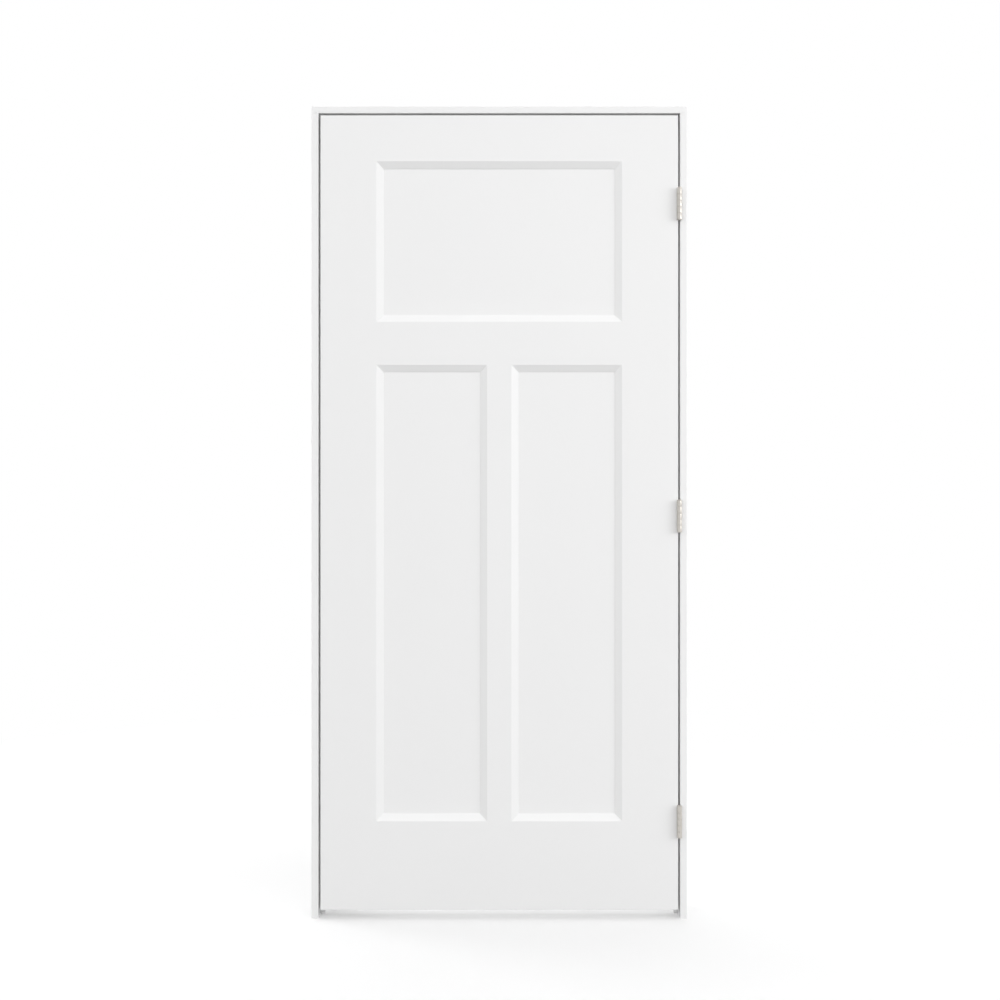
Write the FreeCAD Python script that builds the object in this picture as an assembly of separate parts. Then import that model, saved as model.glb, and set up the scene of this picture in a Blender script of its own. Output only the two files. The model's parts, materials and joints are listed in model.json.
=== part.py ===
import FreeCAD, Part
import os
from math import asin, cos, pi, radians, sin, tan

# Prehung interior door: a three-panel moulded slab hung on three butt hinges in a flat jamb frame
# with applied stops. Millimetres, +Z up, the hinge barrels and the opening side face -Y.
# The origin is at the foot of the hinge jamb, on its wall-side face, midway through the wall.

# Slab
slab_width = 914.4
slab_height = 2032.0
slab_thickness = 35.0
latch_edge_bevel = 3.0  # degrees, so the closing edge clears its jamb
facing_thickness = 3.2
edge_stile_width = 32.0
top_rail_height = 38.0
bottom_rail_height = 64.0

# Moulded panels, the same on both faces
panel_side_margin = 142.8
panel_top_margin = 117.6
panel_bottom_margin = 226.3
top_panel_height = 411.0
rail_between_panels = 109.5
mullion_width = 62.1
moulding_width = 19.0
core_behind_panels = 10.6

# Gaps round the hung slab
hinge_gap = 5.2
latch_gap = 5.4
head_gap = 5.2
stop_gap = 5.2
floor_gap = 21.5

# Frame
jamb_thickness = 17.5
jamb_depth = 116.0
head_housing_depth = 10.0
jamb_arris = 1.5
stop_width = 32.0
stop_projection = 11.0
stop_arris = 2.0

# Hinges
leaf_height = 80.5
leaf_thickness = 2.3
leaf_backset = 4.5  # from the slab's closing face to the leaf's edge
leaf_corner_radius = 10.0
mortise_clearance = 0.15
pin_radius = 3.175
pin_clearance = 0.05
knuckle_wall = 3.025
knuckle_gap = 0.3
knuckle_clearance = 0.4
knuckle_count = 5
barrel_stand_off = 1.75
pin_head_radius = 6.0
pin_head_rim = 1.2
pin_head_dome = 2.2
pin_tip_length = 1.8
pin_tip_chamfer = 1.0
dome_bands = 2
screw_hole_radius = 3.0
countersink_radius = 4.5
screw_hole_sides = 12
end_hole_inset = 13.8
middle_hole_inset = 5.6
end_hole_margin = 6.2
top_hinge_drop = 228.0
middle_hinge_rise = 1006.5
bottom_hinge_rise = 226.5

# How far a cutter runs past the face it cuts through, and the share of the longest edge
# that counts as running the whole length of a piece
past = 5.0
whole_length_share = 0.9

# Places across the doorway
hinge_jamb_face = -jamb_thickness
slab_hinge_edge = hinge_jamb_face - hinge_gap
slab_latch_edge = slab_hinge_edge - slab_width
latch_jamb_face = slab_latch_edge - latch_gap
latch_jamb_back = latch_jamb_face - jamb_thickness

# Places through the wall
front = -jamb_depth / 2
back = jamb_depth / 2
slab_back = front + slab_thickness
stop_front = slab_back + stop_gap

# Places up the doorway
slab_bottom = floor_gap
slab_top = slab_bottom + slab_height
head_underside = slab_top + head_gap
frame_top = head_underside + jamb_thickness

# The hinge pin's line, and the leaves about it
barrel_radius = pin_radius + pin_clearance + knuckle_wall
pin_x = hinge_jamb_face - hinge_gap / 2
pin_y = front - barrel_stand_off - barrel_radius
leaf_edge = slab_back - leaf_backset
knuckle_length = (leaf_height - (knuckle_count - 1) * knuckle_gap) / knuckle_count
hinge_heights = {
    "top": slab_top - top_hinge_drop,
    "middle": slab_bottom + middle_hinge_rise,
    "bottom": slab_bottom + bottom_hinge_rise,
}

# The moulded panels' outlines on the slab, as (low x, high x, low z, high z)
recess_depth = (slab_thickness - core_behind_panels) / 2 - facing_thickness
panel_left = slab_latch_edge + panel_side_margin
panel_right = slab_hinge_edge - panel_side_margin
mullion_left = (panel_left + panel_right - mullion_width) / 2
mullion_right = mullion_left + mullion_width
top_panel_top = slab_top - panel_top_margin
top_panel_bottom = top_panel_top - top_panel_height
lower_panel_top = top_panel_bottom - rail_between_panels
lower_panel_bottom = slab_bottom + panel_bottom_margin
panels = [
    (panel_left, panel_right, top_panel_bottom, top_panel_top),
    (panel_left, mullion_left, lower_panel_bottom, lower_panel_top),
    (mullion_right, panel_right, lower_panel_bottom, lower_panel_top),
]


def box(x0, x1, y0, y1, z0, z1):
    """A box between its low and high corners."""
    return Part.makeBox(x1 - x0, y1 - y0, z1 - z0, FreeCAD.Vector(x0, y0, z0))


def flat_face(points):
    """The flat face inside an outline of straight sides."""
    corners = [FreeCAD.Vector(*point) for point in points]
    return Part.Face(Part.makePolygon(corners + corners[:1]))


def prism(points, along):
    """A flat outline carried along a vector."""
    return flat_face(points).extrude(FreeCAD.Vector(*along))


def tapered(mouth, floor):
    """A solid with flat sides between two flat outlines of as many corners."""
    faces = [flat_face(mouth), flat_face(floor)]
    for index in range(len(mouth)):
        after = (index + 1) % len(mouth)
        faces.append(flat_face([mouth[index], mouth[after], floor[after], floor[index]]))
    return Part.makeSolid(Part.makeShell(faces))


def rounded_along(shape, axis, radius, keep):
    """Rounds the long straight edges that run along an axis and that keep() accepts."""
    direction = FreeCAD.Vector(*axis)
    whole_length = whole_length_share * max(edge.Length for edge in shape.Edges)
    chosen = []
    for edge in shape.Edges:
        start = edge.Vertexes[0].Point
        end = edge.Vertexes[-1].Point
        runs_along = abs((end - start).dot(direction)) > whole_length
        if runs_along and keep(start):
            chosen.append(edge)
    return shape.makeFillet(radius, chosen)


def everywhere(point):
    """Accepts every edge."""
    return True


# Hinges

def knuckles(middle_z, first):
    """The low and high ends of every second knuckle from the given one, counted from the bottom."""
    spans = []
    for index in range(first, knuckle_count, 2):
        low = middle_z - leaf_height / 2 + index * (knuckle_length + knuckle_gap)
        spans.append((low, low + knuckle_length))
    return spans


def pin_cylinder(radius, z0, z1):
    """A cylinder on the hinge pin's line."""
    return Part.makeCylinder(radius, z1 - z0, FreeCAD.Vector(pin_x, pin_y, z0))


def leaf_plate(wood_face, into_wood, edge, start, middle_z, margin):
    """A plate with its two far corners rounded, let into the wood from its face.

    into_wood is +1 or -1, the way into the wood along X; margin grows the outline all round.
    """
    low = middle_z - leaf_height / 2 - margin
    high = middle_z + leaf_height / 2 + margin
    depth = into_wood * leaf_thickness
    x0, x1 = sorted((wood_face, wood_face + depth))
    plate = box(x0, x1, start, edge + margin, low, high)
    corners = []
    for line in plate.Edges:
        ends = [vertex.Point for vertex in line.Vertexes]
        across = abs(ends[0].x - ends[1].x) > leaf_thickness / 2
        if across and ends[0].y > (start + edge) / 2:
            corners.append(line)
    return plate.makeFillet(leaf_corner_radius + margin, corners)


def screw_hole(wood_face, into_wood, y, z):
    """A countersunk hole right through a leaf, widest at its face, with a few flat sides."""

    def ring(radius, depth):
        x = wood_face + into_wood * depth
        turns = [2 * pi * side / screw_hole_sides for side in range(screw_hole_sides)]
        return [(x, y + radius * cos(turn), z + radius * sin(turn)) for turn in turns]

    return tapered(ring(countersink_radius, 0), ring(screw_hole_radius, leaf_thickness))


def screw_places(middle_z):
    """The (y, z) of a leaf's three staggered holes."""
    reach = leaf_height / 2 - end_hole_margin
    return [
        (leaf_edge - end_hole_inset, middle_z + reach),
        (leaf_edge - middle_hole_inset, middle_z),
        (leaf_edge - end_hole_inset, middle_z - reach),
    ]


def hinge_leaf(wood_face, into_wood, middle_z, first_knuckle):
    """One leaf: its plate, its own knuckles round the pin, and notches for the other leaf's."""
    leaf = leaf_plate(wood_face, into_wood, leaf_edge, pin_y, middle_z, 0)
    for low, high in knuckles(middle_z, 1 - first_knuckle):
        room = pin_cylinder(barrel_radius + knuckle_clearance, low - knuckle_gap, high + knuckle_gap)
        leaf = leaf.cut(room)
    for low, high in knuckles(middle_z, first_knuckle):
        leaf = leaf.fuse(pin_cylinder(barrel_radius, low, high))
    bore = pin_cylinder(pin_radius + pin_clearance, middle_z - leaf_height, middle_z + leaf_height)
    leaf = leaf.cut(bore)
    for y, z in screw_places(middle_z):
        leaf = leaf.cut(screw_hole(wood_face, into_wood, y, z))
    return leaf.removeSplitter()


def dome_points(rim_radius, rim_z, crown_z):
    """The profile of a dome in flat bands, from its rim up to its crown on the pin's line.

    Its points, as (radius, z), lie on the arc through the rim that is level at the crown.
    """
    rise = crown_z - rim_z
    arc_radius = (rim_radius ** 2 + rise ** 2) / (2 * rise)
    spread = asin(rim_radius / arc_radius)
    points = []
    for band in range(dome_bands + 1):
        angle = spread * (1 - band / dome_bands)
        points.append((arc_radius * sin(angle), crown_z - arc_radius * (1 - cos(angle))))
    return points


def hinge_pin(middle_z):
    """The loose pin: a domed button head, the shank through all the knuckles and a blunt tip."""
    tip = middle_z - leaf_height / 2 - pin_tip_length
    under_head = middle_z + leaf_height / 2 + knuckle_gap
    rim = under_head + pin_head_rim
    profile = [
        (0, tip),
        (pin_radius - pin_tip_chamfer, tip),
        (pin_radius, tip + pin_tip_chamfer),
        (pin_radius, under_head),
        (pin_head_radius, under_head),
    ]
    profile += dome_points(pin_head_radius, rim, rim + pin_head_dome)
    half_section = flat_face([(pin_x + radius, pin_y, z) for radius, z in profile])
    return half_section.revolve(FreeCAD.Vector(pin_x, pin_y, 0), FreeCAD.Vector(0, 0, 1), 360)


def mortised(shape, wood_face, into_wood):
    """Sinks the three hinge leaves flush into a piece, open towards the front."""
    for middle_z in hinge_heights.values():
        start = front - past
        pocket = leaf_plate(wood_face, into_wood, leaf_edge, start, middle_z, mortise_clearance)
        shape = shape.cut(pocket)
    return shape


# Frame

def side_jamb(face, wall_side):
    """A leg: a bar with eased edges, its top housed for the head."""
    x0, x1 = sorted((face, wall_side))
    bar = box(x0, x1, front, back, 0, frame_top)
    bar = rounded_along(bar, (0, 0, 1), jamb_arris, everywhere)
    inward = 1 if wall_side > face else -1
    h0, h1 = sorted((face - inward * past, face + inward * head_housing_depth))
    housing = box(h0, h1, front - past, back + past, head_underside, frame_top + past)
    return bar.cut(housing)


def hinge_jamb():
    """The leg that carries the hinges, with its three mortises."""
    return mortised(side_jamb(hinge_jamb_face, 0), hinge_jamb_face, 1)


def latch_jamb():
    """The leg on the closing side."""
    return side_jamb(latch_jamb_face, latch_jamb_back)


def head_jamb():
    """The head, which ends in the housings of both legs."""
    x0 = latch_jamb_face - head_housing_depth
    x1 = hinge_jamb_face + head_housing_depth
    bar = box(x0, x1, front, back, head_underside, frame_top)
    return rounded_along(bar, (1, 0, 0), jamb_arris, everywhere)


def side_stop(face, towards_doorway):
    """A stop strip down a leg, mitred at its top to meet the head's."""
    proud = face + towards_doorway * stop_projection
    outline = [
        (face, stop_front, 0),
        (face, stop_front, head_underside),
        (proud, stop_front, head_underside - stop_projection),
        (proud, stop_front, 0),
    ]
    strip = prism(outline, (0, stop_width, 0))

    def on_proud_face(point):
        return abs(point.x - proud) < stop_arris

    return rounded_along(strip, (0, 0, 1), stop_arris, on_proud_face)


def head_stop():
    """The stop strip under the head, mitred at both ends."""
    proud = head_underside - stop_projection
    outline = [
        (latch_jamb_face, stop_front, head_underside),
        (hinge_jamb_face, stop_front, head_underside),
        (hinge_jamb_face - stop_projection, stop_front, proud),
        (latch_jamb_face + stop_projection, stop_front, proud),
    ]
    strip = prism(outline, (0, stop_width, 0))

    def on_proud_face(point):
        return abs(point.z - proud) < stop_arris

    return rounded_along(strip, (1, 0, 0), stop_arris, on_proud_face)


# Slab

def closing_bevel():
    """The sliver planed off the latch edge, widest at the closing face."""
    run = past + slab_thickness
    lean = tan(radians(latch_edge_bevel))
    outline = [
        (slab_latch_edge - past, front - past, slab_bottom - past),
        (slab_latch_edge - past * lean, front - past, slab_bottom - past),
        (slab_latch_edge + run * lean, slab_back + past, slab_bottom - past),
        (slab_latch_edge - past, slab_back + past, slab_bottom - past),
    ]
    return prism(outline, (0, 0, slab_height + 2 * past))


def panel_recess(panel, face, inward, sink):
    """The tapered hollow of one moulded panel, set back by sink from the slab's face.

    inward is +1 for the opening face and -1 for the closing face.
    """
    x0, x1, z0, z1 = panel
    m = moulding_width
    mouth = face + inward * sink
    floor = mouth + inward * recess_depth
    outer = [(x0, z0), (x1, z0), (x1, z1), (x0, z1)]
    inner = [(x0 + m, z0 + m), (x1 - m, z0 + m), (x1 - m, z1 - m), (x0 + m, z1 - m)]
    return tapered([(x, mouth, z) for x, z in outer], [(x, floor, z) for x, z in inner])


def facing(face, inward):
    """A moulded skin of even thickness that follows the panels' hollows."""
    y0, y1 = sorted((face, face + inward * facing_thickness))
    skin = box(slab_latch_edge, slab_hinge_edge, y0, y1, slab_bottom, slab_top)
    for panel in panels:
        skin = skin.fuse(panel_recess(panel, face, inward, facing_thickness))
    for panel in panels:
        skin = skin.cut(panel_recess(panel, face, inward, 0))
    return skin.removeSplitter().cut(closing_bevel())


def front_facing():
    """The skin on the opening side, notched where the hinge leaves pass its edge."""
    return mortised(facing(front, 1), slab_hinge_edge, -1)


def back_facing():
    """The skin on the closing side."""
    return facing(slab_back, -1)


def between_facings(x0, x1, z0, z1):
    """A bar as thick as the space between the two skins."""
    return box(x0, x1, front + facing_thickness, slab_back - facing_thickness, z0, z1)


def hinge_stile():
    """The upright that takes the hinge leaves."""
    bar = between_facings(slab_hinge_edge - edge_stile_width, slab_hinge_edge, slab_bottom, slab_top)
    return mortised(bar, slab_hinge_edge, -1)


def latch_stile():
    """The upright at the closing edge."""
    bar = between_facings(slab_latch_edge, slab_latch_edge + edge_stile_width, slab_bottom, slab_top)
    return bar.cut(closing_bevel())


def edge_rail(z0, z1):
    """A rail between the two uprights."""
    return between_facings(slab_latch_edge + edge_stile_width, slab_hinge_edge - edge_stile_width, z0, z1)


def core():
    """The board that fills the slab between its uprights, rails and moulded skins."""
    board = edge_rail(slab_bottom + bottom_rail_height, slab_top - top_rail_height)
    for panel in panels:
        board = board.cut(panel_recess(panel, front, 1, facing_thickness))
        board = board.cut(panel_recess(panel, slab_back, -1, facing_thickness))
    return board


pieces = {
    "hinge_jamb": hinge_jamb(),
    "latch_jamb": latch_jamb(),
    "head_jamb": head_jamb(),
    "hinge_jamb_stop": side_stop(hinge_jamb_face, -1),
    "latch_jamb_stop": side_stop(latch_jamb_face, 1),
    "head_jamb_stop": head_stop(),
    "front_facing": front_facing(),
    "back_facing": back_facing(),
    "hinge_stile": hinge_stile(),
    "latch_stile": latch_stile(),
    "top_rail": edge_rail(slab_top - top_rail_height, slab_top),
    "bottom_rail": edge_rail(slab_bottom, slab_bottom + bottom_rail_height),
    "core": core(),
}
for place, height in hinge_heights.items():
    pieces[place + "_hinge_jamb_leaf"] = hinge_leaf(hinge_jamb_face, 1, height, 1)
    pieces[place + "_hinge_door_leaf"] = hinge_leaf(slab_hinge_edge, -1, height, 0)
    pieces[place + "_hinge_pin"] = hinge_pin(height)

os.makedirs("parts", exist_ok=True)
for name, piece in pieces.items():
    piece.exportStep("parts/" + name + ".step")
    print(name, piece.isValid(), len(piece.Solids), round(piece.Volume))
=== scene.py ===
import json
from math import pi, radians, tan

import bpy
import numpy as np
from bpy.props import FloatProperty, FloatVectorProperty, IntProperty, PointerProperty
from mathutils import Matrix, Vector


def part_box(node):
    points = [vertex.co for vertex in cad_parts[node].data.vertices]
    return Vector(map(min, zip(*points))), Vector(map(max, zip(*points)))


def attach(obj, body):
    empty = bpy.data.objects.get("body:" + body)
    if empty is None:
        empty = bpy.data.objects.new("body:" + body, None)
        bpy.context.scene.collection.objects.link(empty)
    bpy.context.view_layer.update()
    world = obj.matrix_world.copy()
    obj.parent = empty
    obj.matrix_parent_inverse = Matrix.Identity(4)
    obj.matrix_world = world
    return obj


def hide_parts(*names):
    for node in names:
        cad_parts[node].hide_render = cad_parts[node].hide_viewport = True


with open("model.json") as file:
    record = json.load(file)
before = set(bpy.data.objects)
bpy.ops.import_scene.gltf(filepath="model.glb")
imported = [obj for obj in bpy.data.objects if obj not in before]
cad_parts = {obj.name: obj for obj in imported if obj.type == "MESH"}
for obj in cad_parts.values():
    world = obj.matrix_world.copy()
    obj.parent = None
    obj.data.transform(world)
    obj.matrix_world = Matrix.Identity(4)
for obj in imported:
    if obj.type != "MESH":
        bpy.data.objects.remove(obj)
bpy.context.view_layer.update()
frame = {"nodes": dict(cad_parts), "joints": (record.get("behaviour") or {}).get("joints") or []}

bl_info = {
    "name": "Prehung Panel Door",
    "version": (1, 0, 0),
    "blender": (4, 5, 0),
    "location": "3D View > Sidebar > Door",
    "description": "Moulded faces, primed frame, butt hinges and a plain studio for a prehung door",
    "category": "Object",
}

MM = 0.001
WELD = 0.0001 * MM  # points nearer than this are one
SMOOTH_UP_TO = 32  # degrees: an edge that turns by less is shaded smooth
MITRE_FROM = 8  # degrees: the same on the moulded faces, so low that their mitres stay crisp

# Steps in the rounds of the moulded faces, each step of which turns by less than MITRE_FROM
SHOULDER_STEPS, BROW_STEPS, FOOT_STEPS, ARRIS_STEPS = 5, 7, 10, 12

# Lines across a hinge leaf, along its side at the knuckles, along its far side and in a corner
ACROSS_LINES, NEAR_LINES, FAR_LINES, CORNER_LINES = 26, 48, 36, 7

# Steps round a knuckle, a pin and a screw, and rings in a screw's head
KNUCKLE_STEPS, PIN_STEPS, SCREW_STEPS, HEAD_RINGS = 72, 56, 96, 20

PLACES = ("top", "middle", "bottom")
JAMBS = ("hinge_jamb", "latch_jamb", "head_jamb")
STOPS = ("hinge_jamb_stop", "latch_jamb_stop", "head_jamb_stop")

# The front lamp's place to the right of the slab's middle, out from the middle of the jambs and
# above the floor, and its width, in metres. The back lamp is its twin, turned round the door.
LAMP_ASIDE, LAMP_OUT, LAMP_HEIGHT, LAMP_WIDTH = 5.46, 2.6, 2.2, 2.4
FLOOR_REACH = 40.0  # metres, each way

# Places read from the frame, in metres
SLAB_LOW, SLAB_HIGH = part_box("front_facing")
SLAB_FRONT = SLAB_LOW.y
SLAB_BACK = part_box("back_facing")[1].y
SLAB_MIDDLE = (SLAB_LOW + SLAB_HIGH) / 2
JAMB_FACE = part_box("hinge_jamb_stop")[1].x
LEAF_BOXES = {place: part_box(place + "_hinge_door_leaf") for place in PLACES}
PIN_BOXES = {place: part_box(place + "_hinge_pin") for place in PLACES}
PIN = Vector(frame["joints"][0]["pos_m"])
BARREL_RADIUS = PIN.y - LEAF_BOXES["top"][0].y
LEAF_REACH = LEAF_BOXES["top"][1].y - PIN.y


# Sizes and colours a user may change

def length(name, default, description):
    """A size in metres, written here in millimetres."""
    return FloatProperty(
        name=name, description=description, default=default * MM, min=0.0, precision=5,
        unit="LENGTH", subtype="DISTANCE",
    )


def colour(name, default, description):
    """A linear colour."""
    return FloatVectorProperty(
        name=name, description=description, default=default, size=3, min=0.0, max=1.0,
        subtype="COLOR",
    )


def amount(name, default, description):
    """A plain number from nought to one."""
    return FloatProperty(
        name=name, description=description, default=default, min=0.0, max=1.0, subtype="FACTOR",
    )


def strength(name, default, description):
    """A strength of light, where 1 is white."""
    return FloatProperty(name=name, description=description, default=default, min=0.0, soft_max=3.0)


class DoorFaceSizes(bpy.types.PropertyGroup):
    """The moulded faces of the slab."""

    side_margin: length("Side margin", 142.8, "Slab edge to the panels, across")
    top_margin: length("Top margin", 117.6, "Slab top to the wide panel")
    bottom_margin: length("Bottom margin", 226.3, "Slab bottom to the tall panels")
    top_panel: length("Top panel", 411.0, "Height of the wide panel")
    mid_rail: length("Middle rail", 109.5, "Height between the wide and the tall panels")
    mullion: length("Mullion", 62.1, "Width between the tall panels")
    moulding: length("Moulding", 17.4, "Width of the sloping edge of a panel")
    recess: length("Recess", 9.0, "Depth of a panel's field below the face")
    step: length("Step", 1.3, "Height of the small step at the foot of the slope")
    step_width: length("Step width", 0.3, "Width of that step")
    skin: length("Skin", 3.2, "Thickness of the moulded skin")
    shoulder: length("Shoulder radius", 2.0, "Roundness where the slope leaves the face")
    ease: length("Ease", 0.3, "Roundness of the small step")
    arris: length("Arris", 0.9, "Roundness of the slab's long edges")
    lip: length("Lip", 1.5, "Flat strip kept beside each rounded edge")
    mortise_gap: length("Mortise gap", 0.15, "Space round a hinge leaf in its mortise")
    closing_bevel: FloatProperty(
        name="Closing bevel", description="Lean of the closing edge", default=radians(3.0),
        subtype="ANGLE", unit="ROTATION",
    )


class HingeSizes(bpy.types.PropertyGroup):
    """The butt hinges and their screws."""

    leaf: length("Leaf thickness", 2.3, "Thickness of a leaf")
    corner: length("Corner radius", 10.0, "Rounded corners of a leaf")
    pin_radius: length("Pin radius", 3.175, "Radius of the pin's shank")
    head_radius: length("Head radius", 6.0, "Radius of the pin's button")
    head_rim: length("Head rim", 1.2, "Height of the button's straight rim")
    knuckle_gap: length("Knuckle gap", 0.3, "Space between two knuckles")
    notch: length("Notch clearance", 0.4, "Space between a leaf and the other leaf's knuckles")
    sink: length("Countersink", 4.5, "Radius of a countersink at the leaf's face")
    hole: length("Hole", 3.0, "Radius of a screw hole behind the countersink")
    end_inset: length("End hole inset", 13.8, "Leaf's edge to its end holes")
    middle_inset: length("Middle hole inset", 5.6, "Leaf's edge to its middle hole")
    end_margin: length("End hole margin", 6.2, "Leaf's end to its end holes")
    screw_length: length("Screw length", 16.0, "Length of a hinge screw")
    slot_reach: length("Slot reach", 2.2, "Length of an arm of the cross slot")
    slot_width: length("Slot width", 1.0, "Width of an arm of the cross slot")
    slot_depth: length("Slot depth", 1.3, "Depth of the cross slot")
    pin_fit: length("Pin fit", 0.05, "Space between the pin and its bore")
    ease: length("Ease", 0.25, "Roundness of the edges of leaves, pins and screws")
    lip: length("Lip", 0.35, "Flat strip kept beside each rounded edge")
    knuckles: IntProperty(name="Knuckles", description="Knuckles in a barrel", default=5, min=3)


class DoorFinish(bpy.types.PropertyGroup):
    """Colours and roughness."""

    primer: colour("Primer", (0.84, 0.84, 0.84), "Factory primer on the slab")
    frame_primer: colour("Frame primer", (0.84, 0.84, 0.84), "Factory primer on the frame")
    edge_primer: colour("Edge primer", (0.82, 0.82, 0.81), "Thin primer on the slab's wooden edges")
    board: colour("Board", (0.45, 0.33, 0.2), "Pressed chips of the core")
    nickel: colour("Nickel", (0.58, 0.555, 0.515), "Satin nickel of the hinges")
    primer_roughness: amount("Primer roughness", 0.5, "Roughness of the primer")
    nickel_roughness: amount("Nickel roughness", 0.3, "Roughness of the hinges")


class StudioSettings(bpy.types.PropertyGroup):
    """Camera and light."""

    distance: length("Camera distance", 3250.0, "Camera to the slab's face")
    rise: length("Camera rise", 32.2, "Camera above the slab's middle")
    aside: length("Camera aside", 1.9, "Camera to the right of the slab's middle")
    view_width: length("View width", 2557.0, "Width seen at the slab's face")
    sky: strength("Sky", 1.67, "Light from the horizon beside the door")
    sky_facing: strength("Facing", 0.82, "How much more of it comes from in front and from behind")
    sky_top: strength("Top", 1.38, "How much less of it comes from straight above")
    bounce: amount("Bounce", 0.237, "Share of the light that the floor sends back up")
    lamp_power: FloatProperty(
        name="Lamps", description="Power of each lamp", default=103.0, min=0.0, unit="POWER",
    )
    floor_near: length("Shadow reach", 1200.0, "From the door to where the floor begins to whiten")
    floor_far: length("White floor", 3200.0, "From the door to where the floor is plain white")
    floor_tone: amount("Floor tone", 0.95, "Paleness of the floor in view, where it isn't plain white")


# Surfaces worked out on grids. A sheet is a pair of arrays: its points, and its quads as rows of
# four point numbers. A flat sheet has points (u, v), and its quads run anticlockwise.

def lattice(rows, columns, wrap=False):
    """The quads between neighbours on a grid of points that is stored row by row."""
    row, column = np.meshgrid(np.arange(rows - 1), np.arange(columns - (not wrap)), indexing="ij")
    after = (column + 1) % columns
    corners = ((row, column), (row, after), (row + 1, after), (row + 1, column))
    return np.stack([r * columns + c for r, c in corners], -1).reshape(-1, 4)


def grid_lines(*places):
    """All the given places in order, each of them once."""
    ordered = np.sort(np.concatenate([np.ravel(place) for place in places]))
    return ordered[np.diff(ordered, prepend=-np.inf) > WELD]


def flat_grid(us, vs, kept=None):
    """A flat sheet: a point at each crossing of the lines, a quad in each cell that kept() accepts."""
    points = np.stack(np.meshgrid(us, vs), -1).reshape(-1, 2)
    quads = lattice(len(vs), len(us))
    if kept is not None:
        quads = quads[kept(*points[quads].mean(1).T)]
    return points, quads


def joined(sheets):
    """One sheet from several, with one point where they meet and none that no quad uses."""
    points = np.concatenate([sheet[0] for sheet in sheets])
    offsets = np.cumsum([0] + [len(sheet[0]) for sheet in sheets])
    quads = np.concatenate([sheet[1] + offset for sheet, offset in zip(sheets, offsets)])
    _, first, index = np.unique(
        np.round(points / WELD), axis=0, return_index=True, return_inverse=True,
    )
    used, quads = np.unique(index.reshape(-1)[quads], return_inverse=True)
    return points[first][used], quads.reshape(-1, 4)


def border(sheet):
    """The edges of a flat sheet that only one quad owns, and the way out at each point.

    With a and b the outward unit normals of the two border edges that meet in a point, its way
    out is (a + b) / (1 + a . b). When all points move along it, the edges stay parallel.
    """
    points, quads = sheet
    starts, ends = quads.reshape(-1), np.roll(quads, -1, 1).reshape(-1)
    count = len(points)
    alone = ~np.isin(starts * count + ends, ends * count + starts)
    starts, ends = starts[alone], ends[alone]
    side = points[ends] - points[starts]
    normals = np.stack([side[:, 1], -side[:, 0]], 1) / np.linalg.norm(side, axis=1, keepdims=True)
    coming, going = np.zeros((2, count, 2))
    coming[ends] = normals
    going[starts] = normals
    return starts, ends, (coming + going) / (1 + (coming * going).sum(1, keepdims=True))


def carried(sheet, profile, chosen):
    """A profile carried round the border edges of a flat sheet that chosen() accepts.

    Point (k, i) is border point i, moved out by the profile's reach k and laid at its depth k.
    """
    points = sheet[0]
    starts, ends, out = border(sheet)
    on_it = chosen(*((points[starts] + points[ends]) / 2).T)
    starts, ends = starts[on_it], ends[on_it]
    reach, depth = np.asarray(profile, float).T
    flat = points[None] + reach[:, None, None] * out[None]
    level = np.broadcast_to(depth[:, None, None], flat.shape[:2] + (1,))
    ring = np.arange(len(reach) - 1)[:, None] * len(points)
    after = ring + len(points)
    quads = np.stack([ring + starts, after + starts, after + ends, ring + ends], -1)
    return np.concatenate([flat, level], 2).reshape(-1, 3), quads.reshape(-1, 4)


def at_depth(sheet, depth):
    """A flat sheet laid at a depth, as points (u, v, depth)."""
    points, quads = sheet
    return np.column_stack([points, np.full(len(points), depth)]), quads


def behind(sheet, distance):
    """The same sheet, deeper and facing the other way."""
    points, quads = sheet
    return points + np.array([0, 0, distance]), quads[:, ::-1]


def revolved(profile, steps, centre):
    """A profile of (radius, height) turned about a line, closed where its radius is nought.

    Point (k, i) is the centre plus radius k times (cos, sin) of angle i, at height k.
    """
    radius, height = np.asarray(profile, float).T[:, :, None]
    angle = np.arange(steps) * 2 * pi / steps
    across = centre[0] + radius * np.cos(angle)
    along = centre[1] + radius * np.sin(angle)
    points = np.stack([across, along, np.broadcast_to(height, across.shape)], -1)
    return points.reshape(-1, 3), lattice(len(radius), steps, wrap=True)


def quarter(radius, steps=4):
    """A quarter round as (reach, depth): level at its start, square to the face at (0, radius)."""
    turn = np.linspace(0, pi / 2, steps + 1)
    return radius * np.stack([np.sin(turn) - 1, 1 - np.cos(turn)], 1)


def arc(centre, radius, start, end, steps):
    """Points (radius, height) along an arc between two angles in degrees."""
    angles = np.radians(np.linspace(start, end, steps + 1))
    return np.asarray(centre) + radius * np.stack([np.cos(angles), np.sin(angles)], 1)


def made(name, sheets, place=None, flip=False, smooth_up_to=SMOOTH_UP_TO):
    """One mesh object from sheets: welded where they meet, placed, and smooth over gentle edges.

    A quad with two of its corners welded becomes a triangle, and one with more is left out.
    """
    points, quads = joined(sheets)
    if place is not None:
        points = place(points)
    if flip:
        quads = quads[:, ::-1]
    corners = quads != np.roll(quads, -1, 1)
    sides = corners.sum(1)
    whole = sides > 2
    starts = np.cumsum(sides[whole]) - sides[whole]
    mesh = bpy.data.meshes.new(name)
    mesh.vertices.add(len(points))
    mesh.vertices.foreach_set("co", points.ravel())
    mesh.loops.add(int(sides[whole].sum()))
    mesh.loops.foreach_set("vertex_index", quads[whole][corners[whole]])
    mesh.polygons.add(len(starts))
    mesh.polygons.foreach_set("loop_start", starts)
    mesh.update(calc_edges=True)
    mesh.validate()
    mesh.shade_smooth()
    mesh.set_sharp_from_angle(angle=radians(smooth_up_to))
    piece = bpy.data.objects.new(name, mesh)
    bpy.context.scene.collection.objects.link(piece)
    return piece


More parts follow.
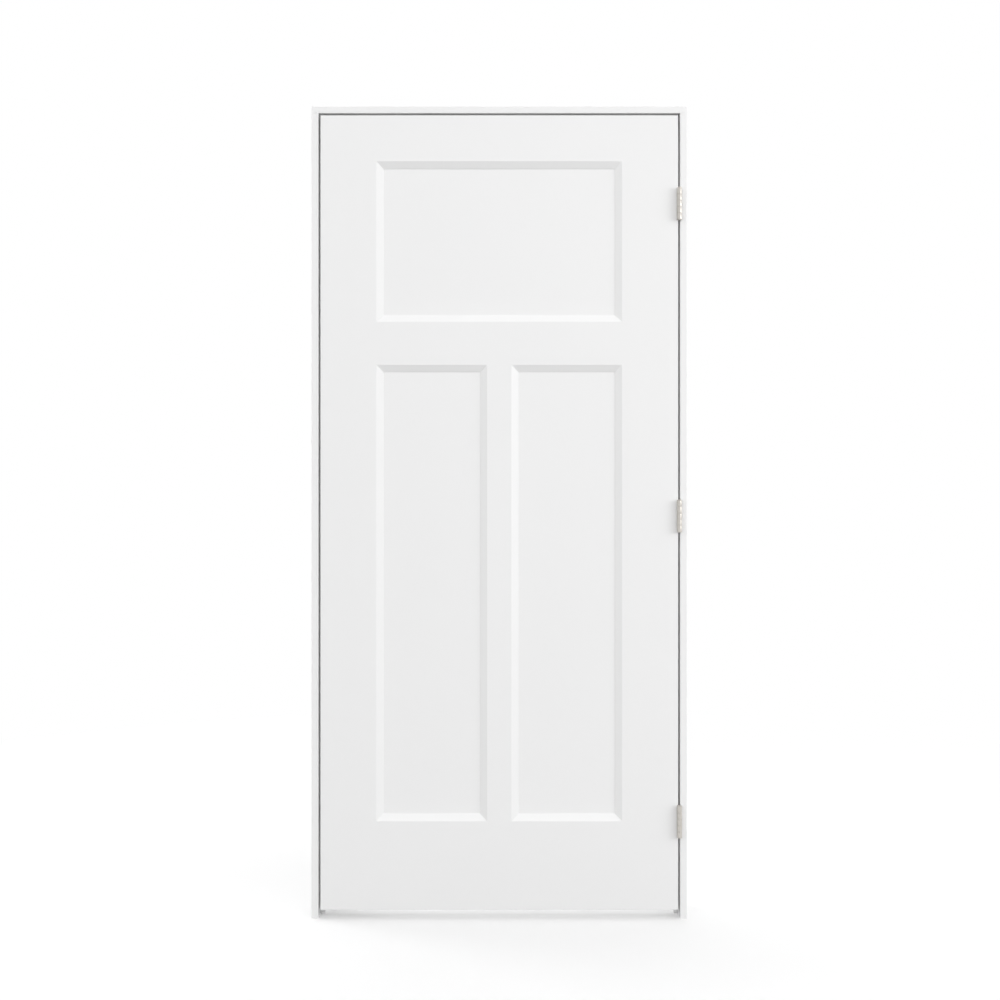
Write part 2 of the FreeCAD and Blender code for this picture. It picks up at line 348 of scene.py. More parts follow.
def fitted(piece, body, slot, material, *nodes):
    """Gives a piece its material and its body, and hides the solids that it stands for. The slot is not
    used.
    """
    piece.data.materials.append(material)
    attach(piece, body)
    if nodes:
        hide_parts(*nodes)
    return piece


def repainted(node, material):
    """Gives a solid that keeps its own shape a better material."""
    materials = frame["nodes"][node].data.materials
    materials.clear()
    materials.append(material)


def within(boxes, u, v, grow=0.0):
    """Whether points lie in any of the boxes (low u, high u, low v, high v)."""
    low_u, high_u, low_v, high_v = boxes.T
    u, v = u[:, None], v[:, None]
    return ((u > low_u - grow) & (u < high_u + grow) & (v > low_v - grow) & (v < high_v + grow)).any(1)


# Moulded faces

def panel_boxes(sizes):
    """The wide panel and the two tall ones, where their slopes meet the face."""
    left = SLAB_LOW.x + sizes.side_margin
    right = SLAB_HIGH.x - sizes.side_margin
    top = SLAB_HIGH.z - sizes.top_margin
    waist = top - sizes.top_panel
    chest = waist - sizes.mid_rail
    foot = SLAB_LOW.z + sizes.bottom_margin
    tall = (right - left - sizes.mullion) / 2
    return np.array([
        (left, right, waist, top),
        (left, left + tall, foot, chest),
        (right - tall, right, foot, chest),
    ])


def rounded_corner(before, corner, after, radius, steps):
    """An arc tangent to both sides of a corner between two other points.

    With a the unit vector into the corner, n the one square to it on the side that the line
    turns to, and t the whole turn, its points are corner + r (sin p - tan(t / 2)) a
    + r (1 - cos p) n, for p from 0 to t.
    """
    coming = (corner - before) / np.linalg.norm(corner - before)
    going = (after - corner) / np.linalg.norm(after - corner)
    side = going - coming * (coming @ going)
    side = side / np.linalg.norm(side)
    turn = np.arctan2(going @ side, going @ coming)
    part = np.linspace(0, turn, steps + 1)[:, None]
    return corner + radius * ((np.sin(part) - tan(turn / 2)) * coming + (1 - np.cos(part)) * side)


def slope_profile(sizes):
    """Reach and depth down a panel's edge: a rounded shoulder, the straight slope, a small step.

    The reach counts from the line where the slope would meet the face. A narrow flat at the end
    of a round keeps the wide flats beyond it truly flat to the light.
    """
    line = np.array([
        (-sizes.moulding, 0), (0, 0), (sizes.moulding, sizes.recess - sizes.step),
        (sizes.moulding + sizes.step_width, sizes.recess), (2 * sizes.moulding, sizes.recess),
    ])
    shoulder = rounded_corner(*line[0:3], sizes.shoulder, SHOULDER_STEPS)
    brow = rounded_corner(*line[1:4], sizes.ease, BROW_STEPS)
    foot = rounded_corner(*line[2:5], sizes.ease, FOOT_STEPS)
    level = sizes.lip * np.array([1, 0])
    down = sizes.lip * (brow[0] - shoulder[-1]) / np.linalg.norm(brow[0] - shoulder[-1])
    return np.concatenate([
        shoulder[:1] - level, shoulder, shoulder[-1:] + down,
        brow[:1] - down, brow, foot, foot[-1:] + level,
    ])


def moulded_face(name, inward, sizes, leaf):
    """A moulded skin: its flats, the three panels with their slopes, and the slab's eased edge.

    The flats are the cells of a grid that lie in no panel and in no notch for a hinge leaf. Only
    the front skin has notches, because the leaves are let in from the front.
    """
    low, high, lip = SLAB_LOW, SLAB_HIGH, sizes.lip
    slope = slope_profile(sizes)
    openings = panel_boxes(sizes) + slope[0, 0] * np.array([1, -1, 1, -1])
    slope = slope - (slope[0, 0], 0)
    spans = np.array([(LEAF_BOXES[place][0].z, LEAF_BOXES[place][1].z) for place in PLACES])
    spans = spans + (sizes.mortise_gap + lip) * np.array([-1, 1])
    notch_u = np.broadcast_to((high.x - leaf - lip, high.x), spans.shape)
    notches = np.hstack([notch_u, spans])
    if inward < 0:
        notches = notches[:0]
    us = grid_lines((low.x + lip, high.x - lip), openings[:, :2], notches[:, :1])
    vs = grid_lines((low.z + lip, high.z - lip), openings[:, 2:], notches[:, 2:])

    def on_the_flat(u, v):
        """Cells of the stiles, rails and mullion."""
        return ~within(openings, u, v) & ~within(notches, u, v)

    def at_a_panel(u, v):
        """Border edges of a panel."""
        return within(openings, u, v, WELD)

    def at_the_rim(u, v):
        """Border edges of the slab."""
        return ~at_a_panel(u, v)

    flats = joined([flat_grid(us, vs, on_the_flat)])
    outer = [at_depth(flats, 0), carried(flats, slope, at_a_panel)]
    shrink = slope[-1, 0] * np.array([1, -1])
    for low_u, high_u, low_v, high_v in openings:
        inner_us = grid_lines(us[(us > low_u + lip) & (us < high_u - lip)], (low_u, high_u) + shrink)
        inner_vs = grid_lines(vs[(vs > low_v + lip) & (vs < high_v - lip)], (low_v, high_v) + shrink)
        outer.append(at_depth(flat_grid(inner_us, inner_vs), sizes.recess))
    arris = quarter(sizes.arris, ARRIS_STEPS) + np.array([lip, 0])
    edge = np.concatenate([[(0, 0)], arris, [(lip, sizes.skin), (0, sizes.skin)]])
    rim = carried(flats, edge, at_the_rim)
    inner = [behind(sheet, sizes.skin) for sheet in outer]
    face = SLAB_FRONT if inward > 0 else SLAB_BACK
    lean = tan(sizes.closing_bevel)

    def place(points):
        """Depth runs into the slab; the closing edge leans over by the bevel."""
        u, v, depth = points.T
        y = face + inward * depth
        beside_edge = u < low.x + 2 * lip
        return np.stack([u + np.where(beside_edge, (y - SLAB_FRONT) * lean, 0.0), y, v], 1)

    return made(name, outer + [rim] + inner, place, flip=inward < 0, smooth_up_to=MITRE_FROM)


# Hinges. A leaf is worked out in (out from the pin, height, depth below its face).

def knuckle_spans(hinge, owns_ends, low, high):
    """The low and high ends of a leaf's own knuckles."""
    pitch = (high - low + hinge.knuckle_gap) / hinge.knuckles
    starts = low + pitch * np.arange(0 if owns_ends else 1, hinge.knuckles, 2)
    return np.stack([starts, starts + pitch - hinge.knuckle_gap], 1)


def screw_places(hinge, low, high):
    """The three staggered holes of a leaf, from the lowest up."""
    near, far = LEAF_REACH - hinge.end_inset, LEAF_REACH - hinge.middle_inset
    return np.array([
        (near, low + hinge.end_margin), (far, (low + high) / 2), (near, high - hinge.end_margin),
    ])


def rectangle_loop(us, left, right):
    """The anticlockwise outline of a rectangle, with a point at each line that meets a side."""
    sides = (
        (us[:-1], left[:1]), (us[-1:], right[:-1]), (us[:0:-1], left[-1:]), (us[:1], left[:0:-1]),
    )
    return np.concatenate([np.stack(np.broadcast_arrays(*side), 1) for side in sides])


def round_band(centre, radius, outline):
    """A flat sheet from an outline in to a circle.

    Each point p of the outline is joined with the circle's point on its way in, which is the
    centre plus the radius times the unit vector from the centre to p.
    """
    way = outline - centre
    circle = centre + radius * way / np.linalg.norm(way, axis=1, keepdims=True)
    return np.concatenate([outline, circle]), lattice(2, len(outline), wrap=True)


def leaf_plate(hinge, owns_ends, low, high):
    """A leaf's face as a flat sheet, short of its true edges by the lip.

    The plate is three bands, one about each hole. In its two far corners the outline's points
    are drawn in, towards the corner's centre, onto the quarter circle. A tab reaches into each
    of the leaf's own knuckles.
    """
    lip, corner = hinge.lip, hinge.corner - hinge.lip
    near, far = BARREL_RADIUS + hinge.notch + lip, LEAF_REACH - lip
    foot, head = low + lip, high - lip
    holes = screw_places(hinge, low, high)
    splits = np.concatenate([[foot], (holes[1:, 1] + holes[:-1, 1]) / 2, [head]])
    tabs = knuckle_spans(hinge, owns_ends, low, high) + np.array([lip, -lip])
    swing = corner * np.tan(np.linspace(0, pi / 4, CORNER_LINES))
    us = grid_lines(np.linspace(near, far - corner, ACROSS_LINES), far - corner + swing)
    left = grid_lines(np.linspace(foot, head, NEAR_LINES), splits, tabs)
    right = grid_lines(
        np.linspace(foot + corner, head - corner, FAR_LINES), splits,
        foot + corner - swing, head - corner + swing,
    )
    sheets = []
    for hole, start, end in zip(holes, splits[:-1], splits[1:]):
        span = (start - WELD, end + WELD)
        outline = rectangle_loop(
            us, left[(left > span[0]) & (left < span[1])], right[(right > span[0]) & (right < span[1])],
        )
        for middle_v, beyond in ((foot + corner, -1), (head - corner, 1)):
            middle = np.array([far - corner, middle_v])
            way = outline - middle
            in_corner = (way[:, 0] > 0) & (way[:, 1] * beyond > 0)
            length_out = np.linalg.norm(way[in_corner], axis=1, keepdims=True)
            outline[in_corner] = middle + corner * way[in_corner] / length_out
        sheets.append(round_band(hole, hinge.sink + lip, outline))
    for start, end in tabs:
        lines = left[(left > start - WELD) & (left < end + WELD)]
        sheets.append(flat_grid(np.array([BARREL_RADIUS / 2, near]), lines))
    return joined(sheets)


def leaf_sheets(hinge, owns_ends, low, high):
    """A leaf's two faces, its eased edge and its countersunk holes."""
    plate = leaf_plate(hinge, owns_ends, low, high)
    holes = screw_places(hinge, low, high)
    lip, thick = hinge.lip, hinge.leaf
    over = quarter(hinge.ease) + np.array([lip, 0])
    under = over[::-1] * np.array([1, -1]) + np.array([0, thick])
    edge = np.concatenate([[(0, 0)], over, under, [(0, thick)]])
    half_ease = hinge.ease / 2
    taper = hinge.sink - hinge.hole
    sink = [
        (0, 0), (lip - half_ease, 0), (lip + half_ease, half_ease), (lip + taper, thick), (0, thick),
    ]

    def at_a_hole(u, v):
        """Border edges of a screw hole, on a circle wider than the countersink by the lip."""
        away = np.stack([u, v], 1)[:, None] - holes[None]
        return (np.linalg.norm(away, axis=2) < hinge.sink + lip + lip / 2).any(1)

    def at_the_rim(u, v):
        """Border edges of the leaf."""
        return ~at_a_hole(u, v)

    face = at_depth(plate, 0)
    rim, sinks = carried(plate, edge, at_the_rim), carried(plate, sink, at_a_hole)
    return [face, behind(face, thick), rim, sinks]


def leaf_place(face_x, into_wood):
    """Where points (out from the pin, height, depth) lie in the doorway."""

    def place(points):
        """Depth runs into the wood along x, out from the pin is y, and height is z."""
        u, v, depth = points.T
        return np.stack([face_x + into_wood * depth, PIN.y + u, v], 1)

    return place


def knuckle_sheet(hinge, low, high):
    """One knuckle: a short tube with eased rims."""
    bore = hinge.pin_radius + hinge.pin_fit
    ease, break_edge = 2 * hinge.ease, hinge.ease
    outer = BARREL_RADIUS
    middle = (bore, (low + high) / 2)
    profile = np.concatenate([
        [middle, (bore, low + break_edge), (bore + break_edge, low)],
        arc((outer - ease, low + ease), ease, -90, 0, steps=4),
        arc((outer - ease, high - ease), ease, 0, 90, steps=4),
        [(bore + break_edge, high), (bore, high - break_edge), middle],
    ])
    return revolved(profile, KNUCKLE_STEPS, PIN)


def hinge_leaf(name, hinge, face_x, into_wood, owns_ends, box):
    """A whole leaf: its plate with its tabs, and its own knuckles."""
    low, high = box[0].z, box[1].z
    place = leaf_place(face_x, into_wood)
    plate = leaf_sheets(hinge, owns_ends, low, high)
    sheets = [(place(points), quads[:, ::-into_wood]) for points, quads in plate]
    sheets += [knuckle_sheet(hinge, *span) for span in knuckle_spans(hinge, owns_ends, low, high)]
    return made(name, sheets)


def hinge_pin(name, hinge, box, leaf_box):
    """A loose pin: domed button, shank and rounded tip, as one turned profile.

    The dome and the tip are arcs that are level on the pin's line: with a rim radius r and a
    rise h, the arc's radius is (r squared + h squared) / 2h.
    """
    tip, crown = box[0].z, box[1].z
    bottom, under_head = leaf_box[0].z, leaf_box[1].z + hinge.knuckle_gap
    shank, head, ease = hinge.pin_radius, hinge.head_radius, hinge.ease
    dome = crown - under_head - hinge.head_rim
    point = bottom - tip
    crown_arc = (head ** 2 + dome ** 2) / (2 * dome)
    tip_arc = (shank ** 2 + point ** 2) / (2 * point)
    crown_spread = np.degrees(np.arcsin(head / crown_arc))
    tip_spread = np.degrees(np.arcsin(shank / tip_arc))
    profile = np.concatenate([
        arc((0, tip + tip_arc), tip_arc, -90, tip_spread - 90, steps=6),
        [(shank, under_head - ease), (shank + ease, under_head)],
        arc((head - ease, under_head + ease), ease, -90, 0, steps=3),
        arc((0, crown - crown_arc), crown_arc, 90 - crown_spread, 90, steps=8),
    ])
    profile[[0, -1], 0] = 0.0
    return made(name, [revolved(profile, PIN_STEPS, PIN)])


def screw_sheet(hinge, centre):
    """A countersunk screw, worked out in (out from the pin, height, depth).

    It is a profile of (radius, depth) turned about its own line, from its point up to the middle
    of its head. In the head, a point within the cross slot, or in the wider round heart of it,
    sinks by the slot's depth, which tapers to nought at the ends of the arms.
    """
    head, flush, point = hinge.sink - hinge.ease, hinge.ease / 2, hinge.screw_length
    arm, half_width = hinge.slot_reach, hinge.slot_width / 2
    shank = 0.7 * hinge.hole  # radius of the shank
    blunt, cone = 0.1 * shank, 2 * shank  # radius of the blunt point and length of its taper
    past_slot = 1.15 * arm  # how far out the head's fine rings reach
    heart_radius = 1.8 * half_width
    softness = 0.3  # share of an arm's half width and of its length over which it shallows
    body = [(0, point), (blunt, point), (shank, point - cone), (shank, hinge.leaf)]
    rim = arc((head - flush, 2 * flush), flush, 0, -90, steps=2)
    top = np.linspace(past_slot, 0, HEAD_RINGS)
    profile = np.concatenate([body, rim, np.stack([top, np.full(len(top), flush)], 1)])
    points, quads = revolved(profile, SCREW_STEPS, centre)
    u, v = np.abs(points[:, :2] - np.asarray(centre)).T
    across, along, away = np.minimum(u, v), np.maximum(u, v), np.hypot(u, v)
    wall = np.clip((half_width - across) / (softness * half_width) + 1, 0, 1)
    taper = np.clip((arm - along) / (softness * arm), 0, 1)
    heart = np.clip((heart_radius - away) / half_width + 1, 0, 1)
    in_head = points[:, 2] < flush + flush / 2
    points[:, 2] += np.where(in_head, hinge.slot_depth * np.maximum(wall, heart) * taper, 0)
    return points, quads


# Materials

def new_material(name):
    """A material with its shader, ready for its nodes."""
    material = bpy.data.materials.new(name)
    material.use_nodes = True
    return material, material.node_tree, material.node_tree.nodes["Principled BSDF"]


def place_on_object(tree, stretch):
    """Object coordinates, squeezed along each axis."""
    where = tree.nodes.new("ShaderNodeTexCoord")
    mapping = tree.nodes.new("ShaderNodeMapping")
    mapping.inputs["Scale"].default_value = stretch
    tree.links.new(where.outputs["Object"], mapping.inputs["Vector"])
    return mapping.outputs["Vector"]


def noise(tree, where, scale, detail=3.0, rough=0.5):
    """Cloudy noise at a number of lumps a metre."""
    cloud = tree.nodes.new("ShaderNodeTexNoise")
    cloud.inputs["Scale"].default_value = scale
    cloud.inputs["Detail"].default_value = detail
    cloud.inputs["Roughness"].default_value = rough
    tree.links.new(where, cloud.inputs["Vector"])
    return cloud.outputs["Fac"]


def between(tree, factor, low, high, start=0.3, end=0.7):
    """A number that runs from low to high as the factor runs from start to end."""
    span = tree.nodes.new("ShaderNodeMapRange")
    for socket, value in zip(("From Min", "From Max", "To Min", "To Max"), (start, end, low, high)):
        span.inputs[socket].default_value = value
    tree.links.new(factor, span.inputs["Value"])
    return span.outputs["Result"]


def shaded(tree, factor, colour_low, colour_high):
    """A colour between two, by a factor."""
    mix = tree.nodes.new("ShaderNodeMix")
    mix.data_type = "RGBA"
    mix.inputs["A"].default_value = (*colour_low, 1)
    mix.inputs["B"].default_value = (*colour_high, 1)
    tree.links.new(factor, mix.inputs["Factor"])
    return mix.outputs["Result"]


def bumped(tree, height, depth, below=None):
    """A bump of a real depth in metres, on top of another one."""
    bump = tree.nodes.new("ShaderNodeBump")
    bump.inputs["Distance"].default_value = depth
    bump.inputs["Strength"].default_value = 1.0
    tree.links.new(height, bump.inputs["Height"])
    if below is not None:
        tree.links.new(below, bump.inputs["Normal"])
    return bump.outputs["Normal"]


def tinted(base, share):
    """A colour, darker by a share."""
    return tuple(channel * (1 - share) for channel in base)


def sprayed_primer(name, base, roughness):
    """Sprayed primer on a pressed skin: fine stipple over a board that is not quite flat."""
    material, tree, shader = new_material(name)
    where = place_on_object(tree, (1, 1, 1))
    stipple = noise(tree, where, scale=950, detail=2)
    waves = noise(tree, where, scale=9, detail=1)
    cloud = noise(tree, where, scale=3.5, detail=4)
    normal = bumped(tree, waves, depth=0.25 * MM)
    normal = bumped(tree, stipple, depth=0.012 * MM, below=normal)
    paint = shaded(tree, cloud, tinted(base, share=0.012), base)
    rough_patches = between(tree, cloud, low=roughness - 0.04, high=roughness + 0.05)
    tree.links.new(normal, shader.inputs["Normal"])
    tree.links.new(paint, shader.inputs["Base Color"])
    tree.links.new(rough_patches, shader.inputs["Roughness"])
    return material


def primed_wood(name, base, roughness, stretch, grain_depth):
    """Primer over planed wood: the grain shows as faint long ridges along one axis."""
    material, tree, shader = new_material(name)
    where = place_on_object(tree, (1, 1, 1))
    along = place_on_object(tree, stretch)
    grain = noise(tree, along, scale=260, detail=4, rough=0.6)
    stipple = noise(tree, where, scale=900, detail=2)
    cloud = noise(tree, along, scale=22, detail=3)
    normal = bumped(tree, grain, depth=grain_depth)
    normal = bumped(tree, stipple, depth=0.012 * MM, below=normal)
    paint = shaded(tree, cloud, tinted(base, share=0.02), base)
    rough_grain = between(tree, grain, low=roughness - 0.04, high=roughness + 0.06)
    tree.links.new(normal, shader.inputs["Normal"])
    tree.links.new(paint, shader.inputs["Base Color"])
    tree.links.new(rough_grain, shader.inputs["Roughness"])
    return material


def grained_pair(names, base, roughness, squeeze, grain_depth):
    """Primed wood with its grain upright, and the same wood with its grain level."""
    upright = primed_wood(names[0], base, roughness, (1, 1, squeeze), grain_depth)
    level = primed_wood(names[1], base, roughness, (squeeze, 1, 1), grain_depth)
    return upright, level


def pressed_board(name, base):
    """Pressed chips: flat cells of differing tan."""
    material, tree, shader = new_material(name)
    where = place_on_object(tree, (1, 1, 1))
    chips = tree.nodes.new("ShaderNodeTexVoronoi")
    chips.inputs["Scale"].default_value = 380
    tree.links.new(where, chips.inputs["Vector"])
    tan_chips = shaded(tree, chips.outputs["Color"], tinted(base, share=0.45), base)
    normal = bumped(tree, chips.outputs["Distance"], depth=0.3 * MM)
    tree.links.new(tan_chips, shader.inputs["Base Color"])
    tree.links.new(normal, shader.inputs["Normal"])
    shader.inputs["Roughness"].default_value = 0.85
    return material


def satin_nickel(name, base, roughness):
    """Satin plating: fine brush lines down the leaf, and a slightly uneven sheen."""
    material, tree, shader = new_material(name)
    shader.inputs["Metallic"].default_value = 1.0
    where = place_on_object(tree, (1, 1, 1))
    down_the_leaf = place_on_object(tree, (1, 1, 0.03))
    lines = noise(tree, down_the_leaf, scale=5200, detail=3, rough=0.7)
    cloud = noise(tree, where, scale=60, detail=3)
    plating = shaded(tree, cloud, tinted(base, share=0.06), base)
    rough_lines = between(tree, lines, low=roughness - 0.07, high=roughness + 0.09)
    normal = bumped(tree, lines, depth=0.004 * MM)
    tree.links.new(plating, shader.inputs["Base Color"])
    tree.links.new(rough_lines, shader.inputs["Roughness"])
    tree.links.new(normal, shader.inputs["Normal"])
    return material


# Studio

def camera_only(tree, plain, seen):
    """Shows one shader to the camera, mirrors and glass, and another to everything else."""
    path = tree.nodes.new("ShaderNodeLightPath")
    seen_by = path.outputs["Is Camera Ray"]
    for ray in ("Is Glossy Ray", "Is Transmission Ray"):
        either = tree.nodes.new("ShaderNodeMath")
        either.operation = "MAXIMUM"
        tree.links.new(seen_by, either.inputs[0])
        tree.links.new(path.outputs[ray], either.inputs[1])
        seen_by = either.outputs[0]
    mix = tree.nodes.new("ShaderNodeMixShader")
    tree.links.new(seen_by, mix.inputs["Fac"])
    tree.links.new(plain, mix.inputs[1])
    tree.links.new(seen, mix.inputs[2])
    return mix.outputs["Shader"]


def floor(studio):
    """A wide pale floor that keeps the door's shadow and fades to plain white away from it."""
    around = ((-1, -1), (1, -1), (1, 1), (-1, 1))
    corners = [(x * FLOOR_REACH, y * FLOOR_REACH, 0) for x, y in around]
    mesh = bpy.data.meshes.new("studio_floor")
    mesh.from_pydata(corners, [], [(0, 1, 2, 3)])
    ground = bpy.data.objects.new("studio_floor", mesh)
    bpy.context.scene.collection.objects.link(ground)
    material, tree, shader = new_material("floor_paint")
    shader.inputs["Base Color"].default_value = (studio.bounce, studio.bounce, studio.bounce, 1)
    shader.inputs["Roughness"].default_value = 0.9
    shader.inputs["Specular IOR Level"].default_value = 0.0
    matt = tree.nodes.new("ShaderNodeBsdfDiffuse")
    matt.inputs["Color"].default_value = (studio.floor_tone, studio.floor_tone, studio.floor_tone, 1)
    white = tree.nodes.new("ShaderNodeEmission")
    where = tree.nodes.new("ShaderNodeTexCoord")
    away = tree.nodes.new("ShaderNodeVectorMath")
    away.operation = "DISTANCE"
    away.inputs[1].default_value = (SLAB_MIDDLE.x, 0, 0)
    tree.links.new(where.outputs["Object"], away.inputs[0])
    fade = between(
        tree, away.outputs["Value"], low=0, high=1, start=studio.floor_near, end=studio.floor_far,
    )
    seen = tree.nodes.new("ShaderNodeMixShader")
    tree.links.new(fade, seen.inputs["Fac"])
    tree.links.new(matt.outputs["BSDF"], seen.inputs[1])
    tree.links.new(white.outputs["Emission"], seen.inputs[2])
    surface = camera_only(tree, shader.outputs["BSDF"], seen.outputs["Shader"])
    tree.links.new(surface, tree.nodes["Material Output"].inputs["Surface"])
    mesh.materials.append(material)


def soft_world(studio):
    """White to the camera. As light, brightest at the horizon in front of the door and behind it.

    In the direction (x, y, z) its strength is sky + facing y squared - top z.
    """
    world = bpy.data.worlds.new("studio_world")
    world.use_nodes = True
    tree = world.node_tree
    soft = tree.nodes["Background"]
    soft.inputs["Color"].default_value = (1, 1, 1, 1)
    where = tree.nodes.new("ShaderNodeTexCoord")
    lean = tree.nodes.new("ShaderNodeVectorMath")
    lean.operation = "MULTIPLY_ADD"
    lean.inputs[1].default_value = (0, studio.sky_facing, 0)
    lean.inputs[2].default_value = (0, 0, -studio.sky_top)
    change = tree.nodes.new("ShaderNodeVectorMath")
    change.operation = "DOT_PRODUCT"
    level = tree.nodes.new("ShaderNodeMath")
    level.inputs[1].default_value = studio.sky
    tree.links.new(where.outputs["Generated"], lean.inputs[0])
    tree.links.new(where.outputs["Generated"], change.inputs[0])
    tree.links.new(lean.outputs["Vector"], change.inputs[1])
    tree.links.new(change.outputs["Value"], level.inputs[0])
    tree.links.new(level.outputs["Value"], soft.inputs["Strength"])
    white = tree.nodes.new("ShaderNodeBackground")
    white.inputs["Color"].default_value = (1, 1, 1, 1)
    surface = camera_only(tree, soft.outputs["Background"], white.outputs["Background"])
    tree.links.new(surface, tree.nodes["World Output"].inputs["Surface"])
    bpy.context.scene.world = world


def area_lamp(name, spot, aim, width, power):
    """A square soft lamp that faces a point."""
    light = bpy.data.lights.new(name, "AREA")
    light.shape = "SQUARE"
    light.size = width
    light.energy = power
    lamp = bpy.data.objects.new(name, light)
    lamp.location = spot
    lamp.rotation_euler = (aim - spot).to_track_quat("-Z", "Y").to_euler()
    bpy.context.scene.collection.objects.link(lamp)


def camera(studio):
    """A level camera square to the slab, near its middle."""
    lens = bpy.data.cameras.new("camera")
    lens.sensor_width = 36.0
    lens.lens = lens.sensor_width * studio.distance / studio.view_width
    lens.clip_end = 200.0
    eye = bpy.data.objects.new("camera", lens)
    eye.location = (
        SLAB_MIDDLE.x + studio.aside, SLAB_FRONT - studio.distance, SLAB_MIDDLE.z + studio.rise,
    )
    eye.rotation_euler = (pi / 2, 0, 0)
    bpy.context.scene.collection.objects.link(eye)
    bpy.context.scene.camera = eye
    bpy.context.scene.view_settings.view_transform = "Standard"


# Operators, one for each group of like pieces and one for the studio

class DOOR_OT_moulded_faces(bpy.types.Operator):
    """Make the two moulded faces of the slab"""

    bl_idname = "door.moulded_faces"
    bl_label = "Moulded Faces"

    def execute(self, context):
        settings = context.scene
        finish = settings.door_finish
        primer = sprayed_primer("slab_primer", finish.primer, finish.primer_roughness)
        for name, inward, node in (
            ("front_moulded_face", 1, "front_facing"),
            ("back_moulded_face", -1, "back_facing"),
        ):
            face = moulded_face(name, inward, settings.door_face, settings.door_hinge.leaf)
            fitted(face, "door", "primed_moulded_facing", primer, node)
        return {"FINISHED"}


class DOOR_OT_slab_edges(bpy.types.Operator):
    """Finish the stiles, rails and core between the moulded faces"""

    bl_idname = "door.slab_edges"
    bl_label = "Slab Edges"

    def execute(self, context):
        finish = context.scene.door_finish
        rougher = finish.primer_roughness + 0.06
        upright, level = grained_pair(
            ("stile_primer", "rail_primer"), finish.edge_primer, rougher,
            squeeze=0.04, grain_depth=0.05 * MM,
        )
        board = pressed_board("core_board", finish.board)
        for node, material in (
            ("hinge_stile", upright), ("latch_stile", upright), ("top_rail", level),
            ("bottom_rail", level), ("core", board),
        ):
            repainted(node, material)
        return {"FINISHED"}


class DOOR_OT_jamb_frame(bpy.types.Operator):
    """Finish the jambs and the applied stops"""

    bl_idname = "door.jamb_frame"
    bl_label = "Jamb Frame"

    def execute(self, context):
        finish = context.scene.door_finish
        upright, level = grained_pair(
            ("leg_primer", "head_primer"), finish.frame_primer, finish.primer_roughness,
            squeeze=0.03, grain_depth=0.02 * MM,
        )
        for node in JAMBS + STOPS:
            repainted(node, level if node.startswith("head") else upright)
        return {"FINISHED"}


class DOOR_OT_hinges(bpy.types.Operator):
    """Make the hinge leaves with their knuckles, and the loose pins"""

    bl_idname = "door.hinges"
    bl_label = "Hinges"

    def execute(self, context):
        settings = context.scene
        hinge = settings.door_hinge
        finish = settings.door_finish
        nickel = satin_nickel("satin_nickel", finish.nickel, finish.nickel_roughness)
        for place in PLACES:
            box = LEAF_BOXES[place]
            for side, face_x, into_wood, owns_ends, body in (
                ("jamb", JAMB_FACE, 1, False, "frame"), ("door", SLAB_HIGH.x, -1, True, "door"),
            ):
                name = f"{place}_{side}_leaf"
                leaf = hinge_leaf(name, hinge, face_x, into_wood, owns_ends, box)
                fitted(leaf, body, "satin_nickel", nickel, f"{place}_hinge_{side}_leaf")
            pin = hinge_pin(f"{place}_pin", hinge, PIN_BOXES[place], box)
            fitted(pin, "frame", "satin_nickel", nickel, f"{place}_hinge_pin")
        return {"FINISHED"}


class DOOR_OT_hinge_screws(bpy.types.Operator):
    """Drive the countersunk screws through the hinge leaves"""

    bl_idname = "door.hinge_screws"
    bl_label = "Hinge Screws"

    def execute(self, context):
        settings = context.scene
        hinge = settings.door_hinge
        finish = settings.door_finish
        darker = tinted(finish.nickel, share=0.1)
        plated = satin_nickel("screw_nickel", darker, finish.nickel_roughness + 0.05)
        for place in PLACES:
            low, high = LEAF_BOXES[place][0].z, LEAF_BOXES[place][1].z
            for side, face_x, into_wood, body in (
                ("jamb", JAMB_FACE, 1, "frame"), ("door", SLAB_HIGH.x, -1, "door"),
            ):
                name = f"{place}_{side}_leaf_screws"
                sheets = [screw_sheet(hinge, centre) for centre in screw_places(hinge, low, high)]
                screws = made(name, sheets, leaf_place(face_x, into_wood), flip=into_wood > 0)
                fitted(screws, body, "satin_nickel", plated)
        return {"FINISHED"}


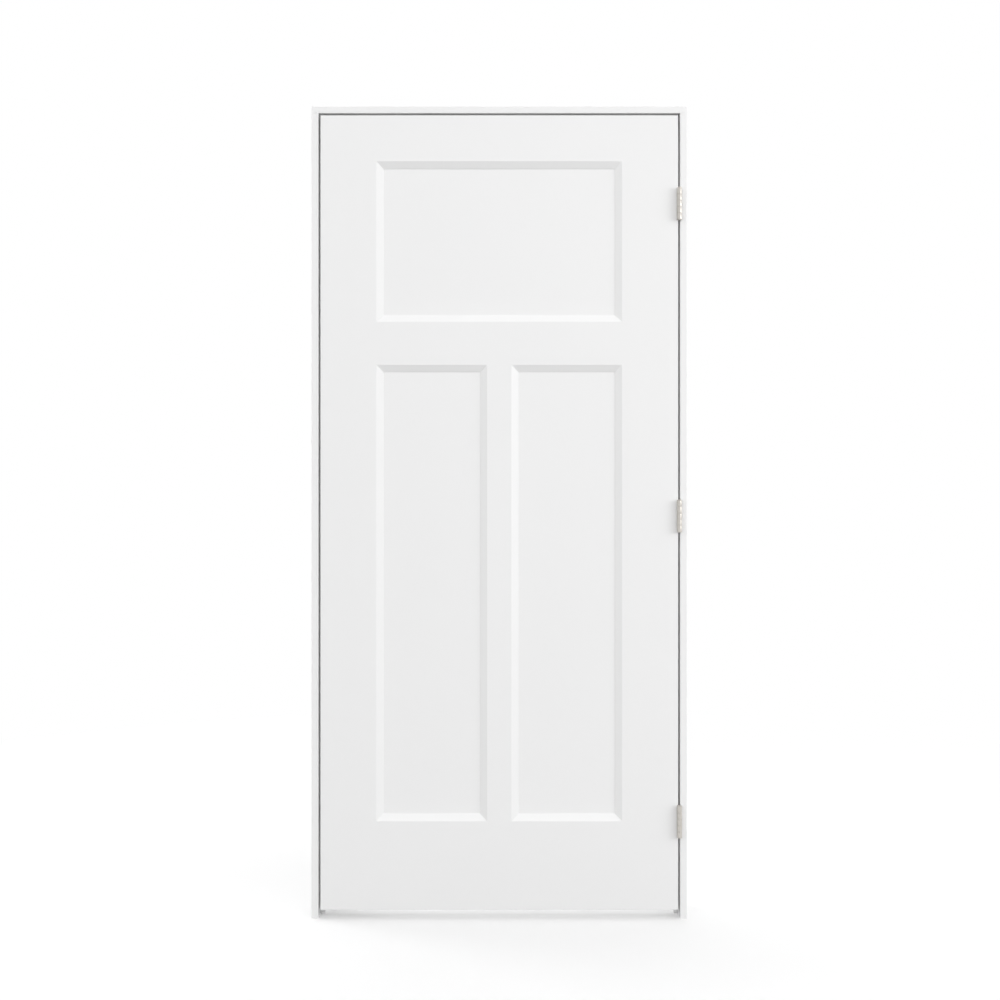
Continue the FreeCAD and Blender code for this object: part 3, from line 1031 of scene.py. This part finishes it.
class DOOR_OT_studio(bpy.types.Operator):
    """Set the pale floor, the soft light and the camera"""

    bl_idname = "door.studio"
    bl_label = "Studio"

    def execute(self, context):
        studio = context.scene.door_studio
        floor(studio)
        soft_world(studio)
        aim = Vector((SLAB_MIDDLE.x, 0, SLAB_MIDDLE.z))
        for name, turn in (("front_lamp", 1), ("back_lamp", -1)):
            spot = Vector((SLAB_MIDDLE.x + turn * LAMP_ASIDE, -turn * LAMP_OUT, LAMP_HEIGHT))
            area_lamp(name, spot, aim, LAMP_WIDTH, studio.lamp_power)
        camera(studio)
        return {"FINISHED"}


class DOOR_PT_panel(bpy.types.Panel):
    """Lists the door's sizes, finishes and steps"""

    bl_idname = "DOOR_PT_panel"
    bl_label = "Prehung Panel Door"
    bl_space_type = "VIEW_3D"
    bl_region_type = "UI"
    bl_category = "Door"

    def draw(self, context):
        for step in STEPS:
            self.layout.operator(step.bl_idname)
        for group_name, group in GROUPS.items():
            column = self.layout.column(align=True)
            for item in group.__annotations__:
                column.prop(getattr(context.scene, group_name), item)


GROUPS = {
    "door_face": DoorFaceSizes,
    "door_hinge": HingeSizes,
    "door_finish": DoorFinish,
    "door_studio": StudioSettings,
}
STEPS = (
    DOOR_OT_moulded_faces,
    DOOR_OT_slab_edges,
    DOOR_OT_jamb_frame,
    DOOR_OT_hinges,
    DOOR_OT_hinge_screws,
    DOOR_OT_studio,
)


def register():
    """Registers the settings, the steps and the sidebar panel."""
    for group_name, group in GROUPS.items():
        bpy.utils.register_class(group)
        setattr(bpy.types.Scene, group_name, PointerProperty(type=group))
    for step in STEPS + (DOOR_PT_panel,):
        bpy.utils.register_class(step)


def unregister():
    """Takes them away again."""
    for step in reversed(STEPS + (DOOR_PT_panel,)):
        bpy.utils.unregister_class(step)
    for group_name, group in reversed(GROUPS.items()):
        delattr(bpy.types.Scene, group_name)
        bpy.utils.unregister_class(group)


def main():
    """Runs every step in order."""
    register()
    bpy.ops.door.moulded_faces()
    bpy.ops.door.slab_edges()
    bpy.ops.door.jamb_frame()
    bpy.ops.door.hinges()
    bpy.ops.door.hinge_screws()
    bpy.ops.door.studio()
    bpy.context.view_layer.update()


if __name__ == "__main__":
    main()
